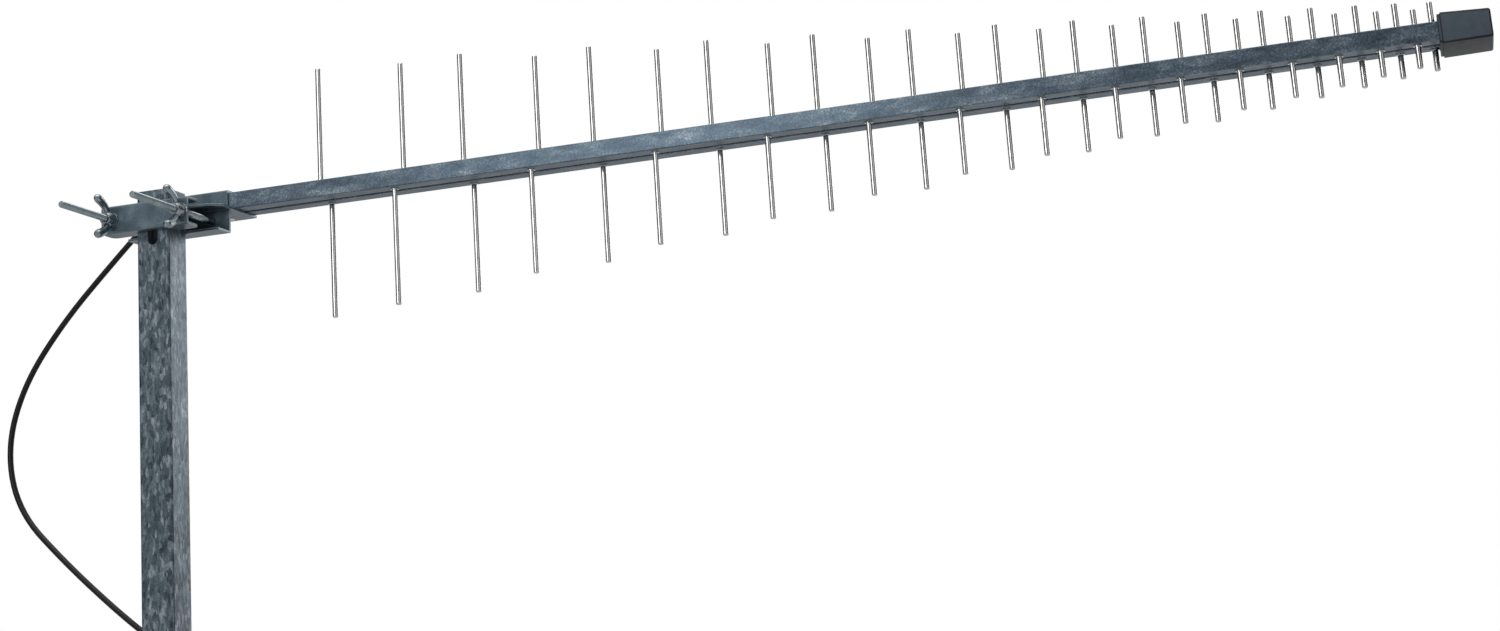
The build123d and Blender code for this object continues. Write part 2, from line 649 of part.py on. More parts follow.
def pieces():
    """Every node and its shape."""
    made = {
        "mast_tube": mast_tube(),
        "boom_near": boom(NEAR_Y),
        "boom_far": boom(FAR_Y),
        "front_plugs": front_plugs(),
        "feed_strap": feed_strap(),
        "feed_screws": feed_screws(),
        "nose_cap": nose_cap(),
        "rear_plug_near": rear_plug(NEAR_Y, True),
        "rear_plug_far": rear_plug(FAR_Y, False),
        "cable_gland": cable_gland(),
        "inner_coax": inner_coax(),
        "boom_saddle": boom_saddle(),
        "saddle_rivets": saddle_rivets(),
        "mast_bracket": mast_bracket(),
        "clamp_plate": clamp_plate(),
        "clamp_washers": clamp_washers(),
        "feed_cable": tube_along(CABLE_ROUTE, CABLE_RADIUS),
        "cable_coil": cable_coil(),
        "cable_tail": tube_along(TAIL_ROUTE, CABLE_RADIUS),
        "cable_tie": cable_tie(),
        "connector_body": connector_body(),
        "connector_pin": connector_pin(),
        "connector_nut": connector_nut(),
    }
    for number, share in enumerate(SPACER_SHARES, 1):
        made[f"boom_spacer_{number}"] = boom_spacer(share)
    for side, x in zip(("left", "right"), stud_places()):
        made[f"stud_{side}"] = stud(x)
        made[f"wing_nut_{side}"] = wing_nut(x)
    for k in range(DIPOLE_COUNT):
        made[f"dipole_{k + 1:02d}"] = dipole(k)
    return made


os.makedirs("parts", exist_ok=True)
for node, shape in pieces().items():
    export_step(shape, f"parts/{node}.step")
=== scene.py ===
"""The visual model of a twin-boom log-periodic antenna on its mast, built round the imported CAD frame."""

import json
import logging
import math
from dataclasses import dataclass, field
from enum import Enum

import bpy
import numpy as np
from mathutils import Matrix, Vector


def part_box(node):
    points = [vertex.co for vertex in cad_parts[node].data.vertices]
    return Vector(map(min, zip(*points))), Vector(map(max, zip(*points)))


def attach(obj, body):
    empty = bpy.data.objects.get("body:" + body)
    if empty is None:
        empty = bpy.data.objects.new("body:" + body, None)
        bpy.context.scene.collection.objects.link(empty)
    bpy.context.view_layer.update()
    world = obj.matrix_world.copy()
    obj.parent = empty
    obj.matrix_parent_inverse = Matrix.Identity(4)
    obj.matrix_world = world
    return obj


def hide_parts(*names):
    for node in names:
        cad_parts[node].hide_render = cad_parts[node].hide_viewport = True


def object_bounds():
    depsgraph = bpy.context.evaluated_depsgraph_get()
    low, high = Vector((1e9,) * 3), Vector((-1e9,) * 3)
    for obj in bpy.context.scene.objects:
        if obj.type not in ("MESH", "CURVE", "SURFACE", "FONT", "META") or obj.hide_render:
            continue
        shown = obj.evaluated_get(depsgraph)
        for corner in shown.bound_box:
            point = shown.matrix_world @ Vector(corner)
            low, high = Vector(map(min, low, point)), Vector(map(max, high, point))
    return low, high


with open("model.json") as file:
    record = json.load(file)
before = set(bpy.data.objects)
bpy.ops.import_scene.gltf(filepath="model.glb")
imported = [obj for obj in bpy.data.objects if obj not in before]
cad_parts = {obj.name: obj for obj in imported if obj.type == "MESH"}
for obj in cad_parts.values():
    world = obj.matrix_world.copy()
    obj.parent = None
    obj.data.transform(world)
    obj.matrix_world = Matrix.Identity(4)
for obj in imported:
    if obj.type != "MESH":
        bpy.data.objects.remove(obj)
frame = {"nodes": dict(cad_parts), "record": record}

CAD_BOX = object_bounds()
MM = 0.001

log = logging.getLogger("antenna")


# ---- colours and nodes --------------------------------------------------------------------------


def linear(hex_colour: str) -> tuple[float, float, float, float]:
    """Turn an sRGB hex value into a linear RGBA colour.

    Args:
        hex_colour: six hex digits, such as "8a9096".

    Returns:
        The linear colour, with alpha 1.
    """
    channels = [int(hex_colour[i : i + 2], 16) / 255 for i in (0, 2, 4)]
    return (*(c / 12.92 if c <= 0.04045 else ((c + 0.055) / 1.055) ** 2.4 for c in channels), 1.0)


def add_node(
    tree: bpy.types.NodeTree,
    kind: str,
    inputs: dict[str | int, object] | None = None,
    stops: dict[float, str] | None = None,
    **settings: object,
) -> bpy.types.Node:
    """Add one shader node with its settings, values and links.

    Args:
        tree: the node tree that it joins.
        kind: the node's type name.
        inputs: a value or a linked output socket for each named input.
        stops: position to hex colour, for a colour ramp only.
        settings: the node's own properties.

    Returns:
        The new node.
    """
    node = tree.nodes.new(kind)
    for name, value in settings.items():
        setattr(node, name, value)
    for name, value in (inputs or {}).items():
        if isinstance(value, bpy.types.NodeSocket):
            tree.links.new(value, node.inputs[name])
        else:
            node.inputs[name].default_value = value
    if stops:
        elements = node.color_ramp.elements
        for element, position in zip(elements, (min(stops), max(stops))):
            element.position = position
            element.color = linear(stops[position])
        for position in sorted(stops)[1:-1]:
            elements.new(position).color = linear(stops[position])
    return node


# ---- finishes -----------------------------------------------------------------------------------


class Pattern(Enum):
    """How a surface's colour varies."""

    SPANGLE = "spangle"
    STAIN = "stain"
    DRAWN = "drawn"
    GRAIN = "grain"


@dataclass(frozen=True)
class Finish:
    """One real finish, as colours, gloss and a pattern measured in millimetres."""

    name: str
    stops: dict[float, str]
    pattern: Pattern
    pattern_mm: tuple[float, float, float]
    fine_mm: float
    roughness: tuple[float, float]
    metallic: float = 0.0
    bump_mm: float = 0.0
    ior: float = 1.5
    specular: float = 0.5
    edge_mm: float = 0.0
    # Colour of the painted highlight that is mixed in on rounded edges.
    painted_edge_highlight: str = "b9c3c8"
    fine_share: float = 0.35

    def material(self) -> bpy.types.Material:
        """Build the finish's material.

        Returns:
            A node material on Object coordinates, which are metres in the frame.
        """
        made = bpy.data.materials.new(self.name)
        made.use_nodes = True
        tree = made.node_tree
        shader = tree.nodes["Principled BSDF"]
        where = add_node(tree, "ShaderNodeTexCoord").outputs["Object"]
        scale = tuple(1 / (size * MM) for size in self.pattern_mm)
        placed = add_node(tree, "ShaderNodeMapping", {"Vector": where, "Scale": scale}).outputs["Vector"]
        value = self._pattern_value(tree, placed)
        fine = add_node(
            tree,
            "ShaderNodeTexNoise",
            {"Vector": where, "Scale": 1 / (self.fine_mm * MM), "Detail": 4.0, "Roughness": 0.65},
        ).outputs["Fac"]
        both = add_node(
            tree,
            "ShaderNodeMix",
            {"Factor": self.fine_share, "A": value, "B": fine},
            data_type="FLOAT",
        ).outputs["Result"]
        colour = add_node(tree, "ShaderNodeValToRGB", {"Fac": both}, stops=self.stops).outputs["Color"]
        gloss = add_node(
            tree,
            "ShaderNodeMapRange",
            {"Value": both, "From Min": 0.25, "From Max": 0.75, "To Min": self.roughness[0],
             "To Max": self.roughness[1]},
        ).outputs["Result"]
        rounded = None
        if self.edge_mm:
            # Folded and sawn edges are softly rounded; where they round, a lighter colour is mixed in as a
            # painted highlight, standing for the light that the rounded edges catch.
            rounded = add_node(
                tree, "ShaderNodeBevel", {"Radius": self.edge_mm * MM}, samples=6
            ).outputs["Normal"]
            flat = add_node(tree, "ShaderNodeNewGeometry").outputs["Normal"]
            match = add_node(tree, "ShaderNodeVectorMath", {0: rounded, 1: flat}, operation="DOT_PRODUCT")
            painted_highlight_share = add_node(
                tree,
                "ShaderNodeMapRange",
                {"Value": match.outputs["Value"], "From Min": 0.995, "From Max": 0.9, "To Max": 0.8},
            ).outputs["Result"]
            colour = add_node(
                tree,
                "ShaderNodeMix",
                {"Factor": painted_highlight_share, "A": colour, "B": linear(self.painted_edge_highlight)},
                data_type="RGBA",
            ).outputs["Result"]
        tree.links.new(colour, shader.inputs["Base Color"])
        tree.links.new(gloss, shader.inputs["Roughness"])
        shader.inputs["Metallic"].default_value = self.metallic
        if not self.metallic:
            shader.inputs["IOR"].default_value = self.ior
            shader.inputs["Specular IOR Level"].default_value = self.specular
        if self.bump_mm:
            bump = {"Height": both, "Strength": 1.0, "Distance": self.bump_mm * MM}
            if rounded:
                bump["Normal"] = rounded
            tree.links.new(add_node(tree, "ShaderNodeBump", bump).outputs["Normal"], shader.inputs["Normal"])
        return made

    def _pattern_value(self, tree: bpy.types.NodeTree, placed: bpy.types.NodeSocket) -> bpy.types.NodeSocket:
        """Give the coarse pattern as a value from 0 to 1.

        Args:
            tree: the material's tree.
            placed: coordinates in which one unit is one feature of the pattern.

        Returns:
            The socket that carries the value.
        """
        if self.pattern is Pattern.SPANGLE:
            # Zinc crystals: every cell has its own grey, and frost lies over them in wavy patches.
            wave = add_node(tree, "ShaderNodeTexNoise", {"Vector": placed, "Scale": 0.35, "Detail": 5.0})
            cells = add_node(tree, "ShaderNodeTexVoronoi", {"Vector": placed, "Scale": 1.0}, feature="F1")
            grey = add_node(tree, "ShaderNodeSeparateColor", {"Color": cells.outputs["Color"]}).outputs["Red"]
            return add_node(
                tree,
                "ShaderNodeMix",
                {"Factor": 0.62, "A": grey, "B": wave.outputs["Fac"]},
                data_type="FLOAT",
            ).outputs["Result"]
        detail = {Pattern.STAIN: 5.0, Pattern.DRAWN: 2.0, Pattern.GRAIN: 6.0}[self.pattern]
        distortion = 0.6 if self.pattern is Pattern.STAIN else 0.0
        return add_node(
            tree,
            "ShaderNodeTexNoise",
            {"Vector": placed, "Scale": 1.0, "Detail": detail, "Distortion": distortion},
        ).outputs["Fac"]


# Each record slot's finish. The comment says what the real surface gives the eye.
FINISHES: dict[str, Finish] = {
    # Hot-dip galvanised steel: dull zinc with small crystals, dark in places and frosted white in others.
    "galvanised_steel": Finish(
        name="hot_dip_galvanised_steel",
        stops={0.32: "2f3a41", 0.45: "4f5b63", 0.56: "66727a", 0.72: "a4adb2"},
        pattern=Pattern.SPANGLE,
        pattern_mm=(2.0, 2.0, 5.5),
        fine_mm=1.2,
        roughness=(0.34, 0.5),
        metallic=0.75,
        bump_mm=0.03,
        edge_mm=0.7,
    ),
    # Folded sheet with zinc plate and a blue passivation: smooth, dull and blue-grey.
    "clamp_steel": Finish(
        name="blue_passivated_steel",
        stops={0.3: "45545d", 0.5: "596973", 0.7: "76868e"},
        pattern=Pattern.STAIN,
        pattern_mm=(16.0, 16.0, 16.0),
        fine_mm=1.2,
        roughness=(0.26, 0.4),
        metallic=0.6,
        bump_mm=0.012,
        edge_mm=0.6,
    ),
    # Bright zinc plate: smoother and lighter than the sheet, with a faint grain.
    "zinc_plate": Finish(
        name="bright_zinc_plate",
        stops={0.25: "7b858a", 0.5: "8f999d", 0.75: "a3acb0"},
        pattern=Pattern.GRAIN,
        pattern_mm=(7.0, 7.0, 7.0),
        fine_mm=1.5,
        roughness=(0.2, 0.3),
        metallic=1.0,
        bump_mm=0.004,
        fine_share=0.25,
    ),
    # Extruded aluminium tube, weathered blue-grey: cloudy, with pale flecks a millimetre or so across.
    "boom_aluminium": Finish(
        name="weathered_mill_aluminium",
        stops={0.32: "3b4752", 0.46: "4f5d69", 0.56: "66747f", 0.7: "a3adb5"},
        pattern=Pattern.STAIN,
        pattern_mm=(22.0, 8.0, 8.0),
        fine_mm=1.6,
        roughness=(0.3, 0.44),
        metallic=0.8,
        bump_mm=0.02,
        edge_mm=0.5,
        fine_share=0.55,
    ),
    # Drawn aluminium rod: bright, with fine lines along its length.
    "rod_aluminium": Finish(
        name="drawn_aluminium_rod",
        stops={0.25: "c2c2bf", 0.5: "d2d2cf", 0.8: "e4e4e1"},
        pattern=Pattern.DRAWN,
        pattern_mm=(1.6, 1.6, 60.0),
        fine_mm=5.0,
        roughness=(0.08, 0.15),
        metallic=1.0,
        fine_share=0.15,
    ),
    # Injection-moulded weatherproof plastic with a fine spark-eroded grain.
    "black_plastic": Finish(
        name="moulded_black_plastic",
        stops={0.3: "0d0f11", 0.7: "15181b"},
        pattern=Pattern.GRAIN,
        pattern_mm=(6.0, 6.0, 6.0),
        fine_mm=0.5,
        roughness=(0.4, 0.52),
        bump_mm=0.02,
        specular=0.3,
    ),
    # Moulded rubber: matt, nearly black.
    "black_rubber": Finish(
        name="moulded_rubber",
        stops={0.3: "0f1011", 0.7: "1b1c1d"},
        pattern=Pattern.GRAIN,
        pattern_mm=(4.0, 4.0, 4.0),
        fine_mm=0.6,
        roughness=(0.6, 0.75),
        bump_mm=0.02,
    ),
    # Extruded cable jacket: black, with a soft sheen along its length and faint cloudiness.
    "cable_jacket": Finish(
        name="extruded_cable_jacket",
        stops={0.3: "030303", 0.7: "08090a"},
        pattern=Pattern.STAIN,
        pattern_mm=(9.0, 9.0, 9.0),
        fine_mm=1.0,
        roughness=(0.3, 0.42),
        bump_mm=0.01,
        specular=0.3,
    ),
    # Moulded nylon: smooth and slightly glossy.
    "black_nylon": Finish(
        name="moulded_nylon",
        stops={0.3: "0e0f10", 0.7: "191a1b"},
        pattern=Pattern.GRAIN,
        pattern_mm=(5.0, 5.0, 5.0),
        fine_mm=0.8,
        roughness=(0.35, 0.5),
        bump_mm=0.01,
    ),
    # Nickel plate: warm, bright and fine-turned.
    "nickel_plate": Finish(
        name="satin_nickel_plate",
        stops={0.25: "a9a69e", 0.5: "c2bfb6", 0.8: "dad7cf"},
        pattern=Pattern.DRAWN,
        pattern_mm=(8.0, 8.0, 0.4),
        fine_mm=1.0,
        roughness=(0.16, 0.3),
        metallic=1.0,
        bump_mm=0.005,
    ),
    # Machined brass: yellow, with turning marks.
    "brass": Finish(
        name="machined_brass",
        stops={0.25: "b08a45", 0.5: "c8a25c", 0.8: "dcbd7c"},
        pattern=Pattern.GRAIN,
        pattern_mm=(2.0, 2.0, 0.5),
        fine_mm=0.5,
        roughness=(0.2, 0.34),
        metallic=1.0,
        bump_mm=0.005,
    ),
}


# The cap's two broad sides have a coarser moulded grain than its polished rims and ends, and a much lighter
# grey painted in: painted light, standing for the front light that falls on the near side.
SIDE_GRAIN_PAINTED_LIGHT = Finish(
    name="grained_black_plastic_painted_light",
    stops={0.3: "434c55", 0.7: "505962"},
    pattern=Pattern.GRAIN,
    pattern_mm=(6.0, 6.0, 6.0),
    fine_mm=0.5,
    roughness=(0.7, 0.82),
    bump_mm=0.03,
    specular=0.2,
)


# ---- meshes from numpy grids --------------------------------------------------------------------


def mesh_from_rings(
    name: str, rings: np.ndarray, wrap: bool, sharp_degrees: float = 35.0
) -> bpy.types.Object:
    """Make a closed mesh from a stack of rings.

    The surface's first parameter counts the rings and its second goes round each ring. With wrap, the last
    ring joins the first, as on a turned washer. Without, each end ring closes on its own middle point.

    Args:
        name: the piece's name.
        rings: points in metres, of shape (rings, points, 3).
        wrap: whether the stack closes on itself.
        sharp_degrees: edges that turn by more than this stay sharp.

    Returns:
        The linked object.
    """
    count, around = rings.shape[:2]
    points = rings.reshape(-1, 3)
    last = count if wrap else count - 1
    row = np.arange(last)[:, None] * around
    after = ((np.arange(last)[:, None] + 1) % count) * around
    here = np.arange(around)[None, :]
    beside = (here + 1) % around
    quads = np.stack((row + here, row + beside, after + beside, after + here), axis=-1).reshape(-1, 4)
    faces = quads.tolist()
    if not wrap:
        points = np.vstack((points, rings[0].mean(0), rings[-1].mean(0)))
        first, end = count * around, count * around + 1
        top = (count - 1) * around
        turn = np.arange(around)
        after_turn = (turn + 1) % around
        faces += np.stack((after_turn, turn, np.full(around, first)), axis=-1).tolist()
        faces += np.stack((top + turn, top + after_turn, np.full(around, end)), axis=-1).tolist()
    if signed_volume(points, faces) < 0:
        faces = [face[::-1] for face in faces]
    mesh = bpy.data.meshes.new(name)
    mesh.from_pydata(points.tolist(), [], faces)
    mesh.validate()
    mesh.polygons.foreach_set("use_smooth", np.ones(len(mesh.polygons), dtype=bool))
    mesh.set_sharp_from_angle(angle=math.radians(sharp_degrees))
    made = bpy.data.objects.new(name, mesh)
    bpy.context.scene.collection.objects.link(made)
    return made


def signed_volume(points: np.ndarray, faces: list[list[int]]) -> float:
    """Sum the volumes of the pyramids from the origin to each triangle: positive if faces point out."""
    triangles = [(f[0], f[i], f[i + 1]) for f in faces for i in range(1, len(f) - 1)]
    a, b, c = (points[np.array(triangles)[:, i]] for i in range(3))
    return float(np.einsum("ij,ij->i", a, np.cross(b, c)).sum() / 6)


def turned_rings(profile: np.ndarray, around: int, origin: Vector, axis: Vector, side: Vector) -> np.ndarray:
    """Turn a profile about an axis.

    A ring's point is origin + height along axis + radius times (cosine along side + sine along axis x side).

    Args:
        profile: rows of (radius, height) in metres, or (rings, points, 2) where radius varies in a ring.
        around: points on each ring.
        origin: where height is 0.
        axis: unit vector of the turning axis.
        side: unit vector across it, where the angle is 0.

    Returns:
        Points of shape (rings, around, 3).
    """
    angle = np.linspace(0, 2 * math.pi, around, endpoint=False)
    if profile.ndim == 2:
        profile = np.repeat(profile[:, None, :], around, axis=1)
    radius, height = profile[..., 0, None], profile[..., 1, None]
    across = np.array(axis.cross(side))
    spoke = np.cos(angle)[None, :, None] * np.array(side) + np.sin(angle)[None, :, None] * across
    return np.array(origin) + height * np.array(axis) + radius * spoke


def join(name: str, parts: list[bpy.types.Object]) -> bpy.types.Object:
    """Join closed meshes into one piece of that name."""
    with bpy.context.temp_override(active_object=parts[0], selected_editable_objects=parts):
        bpy.ops.object.join()
    parts[0].name = name
    parts[0].data.name = name
    return parts[0]


# ---- sub-assemblies -----------------------------------------------------------------------------


class Workshop:
    """Holds the materials, and dresses and fits each piece to the frame."""

    def __init__(self) -> None:
        """Build every finish's material once."""
        self.materials = {slot: finish.material() for slot, finish in FINISHES.items()}

    def dress_cad(self) -> None:
        """Give every CAD node the material of its record slot."""
        for part in frame["record"]["subparts"]:
            node = frame["nodes"][part["node"]]
            for place in node.material_slots:
                place.material = self.materials[part["material_slot"]]

    def fit(self, piece: bpy.types.Object, body: str, slot: str, *replaced: str) -> bpy.types.Object:
        """Dress a new piece, ride it on its body and let it stand for CAD nodes.

        Args:
            piece: the finished object.
            body: the CAD body that it moves with.
            slot: the record's material slot.
            replaced: the CAD nodes that it stands for.

        Returns:
            The piece.
        """
        piece.data.materials.append(self.materials[slot])
        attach(piece, body)
        if replaced:
            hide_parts(*replaced)
        log.info("%s rides on %s", piece.name, body)
        return piece


@dataclass
class WingNutClamp:
    """The two threaded studs and their wing nuts. Their axes point to the front, along -Y."""

    shop: Workshop
    pitch: float = 1.0 * MM
    outer: float = 3.0 * MM
    lead_length: float = 1.2 * MM
    lead_depth: float = 0.7 * MM
    web_thickness: float = 3.5 * MM
    neck: float = 0.4 * MM
    head_rim: float = 0.8 * MM
    head_dome: float = 2.6 * MM
    thread_depth: float = 0.35 * MM
    steps_per_pitch: int = 8
    stud_around: int = 28
    plain_length: float = 14.0 * MM
    hub_profile_mm: tuple[tuple[float, float], ...] = (
        (3.05, 0.3), (3.4, 0.0), (6.1, 0.0), (6.5, 0.4), (6.35, 2.0), (5.9, 4.2), (5.4, 6.2), (5.1, 7.4),
        (4.6, 8.0), (3.5, 8.0), (3.05, 7.6),
    )
    wing_root_mm: tuple[float, float] = (4.0, 3.6)
    wing_bend_mm: tuple[float, float] = (11.8, 4.6)
    wing_tip_mm: tuple[float, float] = (16.4, 21.6)

    def build(self) -> None:
        """Build both sides."""
        for side in ("left", "right"):
            self._stud(side)
            self._wing_nut(side)

    def _stud(self, side: str) -> None:
        """Make one stud.

        Along the thread, the radius is the outer radius less a triangle wave of the height in pitches minus
        the share of a turn, so the crests run in a helix. The head is a shallow dome.
        """
        low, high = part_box(f"stud_{side}")
        outer = self.outer
        head_radius = (high.x - low.x) / 2
        length = high.y - self.web_thickness - low.y
        origin = Vector(((low.x + high.x) / 2, low.y, (low.z + high.z) / 2))
        thread = length - self.plain_length
        heights = np.arange(0, thread, self.pitch / self.steps_per_pitch)
        turn = np.arange(self.stud_around) / self.stud_around
        phase = (heights[:, None] / self.pitch - turn[None, :]) % 1.0
        groove = self.thread_depth * (1 - np.abs(2 * phase - 1))
        lead = np.clip(1 - heights / self.lead_length, 0, 1)[:, None] * self.lead_depth
        radius = np.minimum(outer - groove, outer - lead)
        thread_rings = np.stack((radius, np.repeat(heights[:, None], self.stud_around, axis=1)), axis=-1)
        dome = np.linspace(0, math.pi / 2, 8)
        rim = length + self.head_rim
        tail = [(outer, thread + self.neck), (outer, length), (head_radius, length), (head_radius, rim)]
        tail += list(zip(head_radius * np.cos(dome[1:-1]), rim + self.head_dome * np.sin(dome[1:-1])))
        tail_rings = np.repeat(np.array(tail)[:, None, :], self.stud_around, axis=1)
        rings = np.concatenate((thread_rings, tail_rings))
        points = turned_rings(rings, self.stud_around, origin, Vector((0, 1, 0)), Vector((1, 0, 0)))
        piece = mesh_from_rings(f"threaded_stud_{side}", points, wrap=False)
        self.shop.fit(piece, "head", "zinc_plate", f"stud_{side}")

    def _wing_nut(self, side: str) -> None:
        """Make one wing nut: a turned hub, and two wings lofted along a bent line.

        A wing's centre line is a quadratic curve from root over bend to tip. Its section is an ellipse whose
        half-width and half-thickness grow evenly to the tip and close as a quarter circle at the end.
        """
        low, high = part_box(f"wing_nut_{side}")
        origin = Vector(((low.x + high.x) / 2, high.y, (low.z + high.z) / 2))
        axis = Vector((0, -1, 0))
        upright = Vector((0, 0, 1))
        profile = np.array(self.hub_profile_mm) * MM
        hub = mesh_from_rings(f"hub_{side}", turned_rings(profile, 40, origin, axis, upright), wrap=True)
        parts = [hub]
        root, bend, tip = (np.array(p) * MM for p in (self.wing_root_mm, self.wing_bend_mm, self.wing_tip_mm))
        t = np.linspace(0, 1, 28)[:, None]
        line = (1 - t) ** 2 * root + 2 * t * (1 - t) * bend + t**2 * tip
        slope = 2 * (1 - t) * (bend - root) + 2 * t * (tip - bend)
        slope /= np.linalg.norm(slope, axis=1, keepdims=True)
        normal = np.stack((-slope[:, 1], slope[:, 0]), axis=-1)
        close = np.sqrt(np.clip(1 - np.clip((t - 0.84) / 0.16, 0, 1) ** 2, 0.004, 1))
        width = (3.3 + 0.7 * t) * MM * close
        thick = (2.3 + 1.4 * t) * MM * close
        angle = np.linspace(0, 2 * math.pi, 20, endpoint=False)[None, :]
        spread, lean = width * np.cos(angle), thick * np.sin(angle)
        radial = line[:, :1] + normal[:, :1] * spread
        height = line[:, 1:] + normal[:, 1:] * spread
        for sign in (1, -1):
            points = (
                np.array(origin)
                + sign * radial[..., None] * np.array(upright)
                + height[..., None] * np.array(axis)
                + lean[..., None] * np.array((1.0, 0.0, 0.0))
            )
            parts.append(mesh_from_rings(f"wing_{side}_{sign}", points, wrap=False))
        piece = join(f"cast_wing_nut_{side}", parts)
        self.shop.fit(piece, f"wing_{side}", "zinc_plate", f"wing_nut_{side}")


@dataclass
class NoseCap:
    """The moulded cap over the booms' front ends: a lip behind, a top that falls forwards, soft edges."""

    shop: Workshop
    corner: float = 1.6 * MM
    draft: float = 0.3 * MM
    collar_length: float = 2.2 * MM
    front_round: float = 1.8 * MM
    wall: float = 5.0 * MM
    top_fall: float = 1.6 * MM
    arc_points: int = 7

    def _rounded_rectangle(self, half_y: float, half_z: float, corner: float) -> np.ndarray:
        """Points round a rectangle whose corners are quarter circles, as (y, z) offsets from its middle."""
        angle = np.linspace(0, math.pi / 2, self.arc_points)
        quarter = np.stack((np.cos(angle), np.sin(angle)), axis=-1) * corner
        middle = np.array((half_y - corner, half_z - corner))
        parts = []
        for signs, back in (((1, 1), 1), ((-1, 1), -1), ((-1, -1), 1), ((1, -1), -1)):
            parts.append(((quarter + middle) * np.array(signs))[::back])
        return np.concatenate(parts)

    def build(self) -> None:
        """Make the cap as one stack of rings: out of the pocket, over the lip, forwards to the front face."""
        low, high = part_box("nose_cap")
        middle = (low + high) / 2
        half_y, half_z = (high.y - low.y) / 2, (high.z - low.z) / 2
        near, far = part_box("boom_near"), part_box("boom_far")
        grip_y = (far[1].y - near[0].y) / 2 + 0.15 * MM
        grip_z = (near[1].z - near[0].z) / 2 + 0.15 * MM
        pocket_front = high.x - self.wall
        rows = [
            (pocket_front, grip_y, grip_z, 0.4 * MM),
            (low.x + 0.5 * MM, grip_y, grip_z, 0.4 * MM),
            (low.x, grip_y + 0.5 * MM, grip_z + 0.5 * MM, 0.6 * MM),
            (low.x, half_y - 1.6 * MM, half_z - 1.6 * MM, self.corner),
            (low.x + 0.4 * MM, half_y - 1.0 * MM, half_z - 1.0 * MM, self.corner),
            (low.x + self.collar_length, half_y - 1.0 * MM, half_z - 1.0 * MM, self.corner),
            (low.x + self.collar_length + 0.2 * MM, half_y - 0.3 * MM, half_z - 0.3 * MM, self.corner),
            (low.x + self.collar_length + 0.7 * MM, half_y, half_z, self.corner),
        ]
        for turn in np.linspace(0, math.pi / 2, 7):
            inset = self.draft + self.front_round * (1 - math.cos(turn))
            x = high.x - self.front_round * (1 - math.sin(turn))
            rows.append((x, half_y - inset, half_z - inset, self.corner + 0.6 * MM))
        rings = []
        for x, ry, rz, corner in rows:
            outline = self._rounded_rectangle(ry, rz, corner)
            places = (np.full(len(outline), x), middle.y + outline[:, 0], middle.z + outline[:, 1])
            rings.append(np.column_stack(places))
        rings = np.array(rings)
        # The top falls evenly to the front: a point in the upper half drops by its share of the length times
        # its share of that half's height.
        outside = rings[2:]
        along = (outside[..., 0] - low.x) / (high.x - low.x)
        up = np.clip((outside[..., 2] - low.z) / (high.z - low.z), 0, 1)
        outside[..., 2] -= self.top_fall * along * np.clip(2 * up - 1, 0, 1)
        piece = mesh_from_rings("moulded_nose_cap", rings, wrap=False, sharp_degrees=40)
        self.shop.fit(piece, "head", "black_plastic", "nose_cap")
        # The broad sides take the lighter grey finish, which is painted light.
        piece.data.materials.append(SIDE_GRAIN_PAINTED_LIGHT.material())
        normals = np.empty(len(piece.data.polygons) * 3)
        piece.data.polygons.foreach_get("normal", normals)
        broad = (np.abs(normals.reshape(-1, 3)[:, 1]) > 0.99).astype(np.int32)
        piece.data.polygons.foreach_set("material_index", broad)


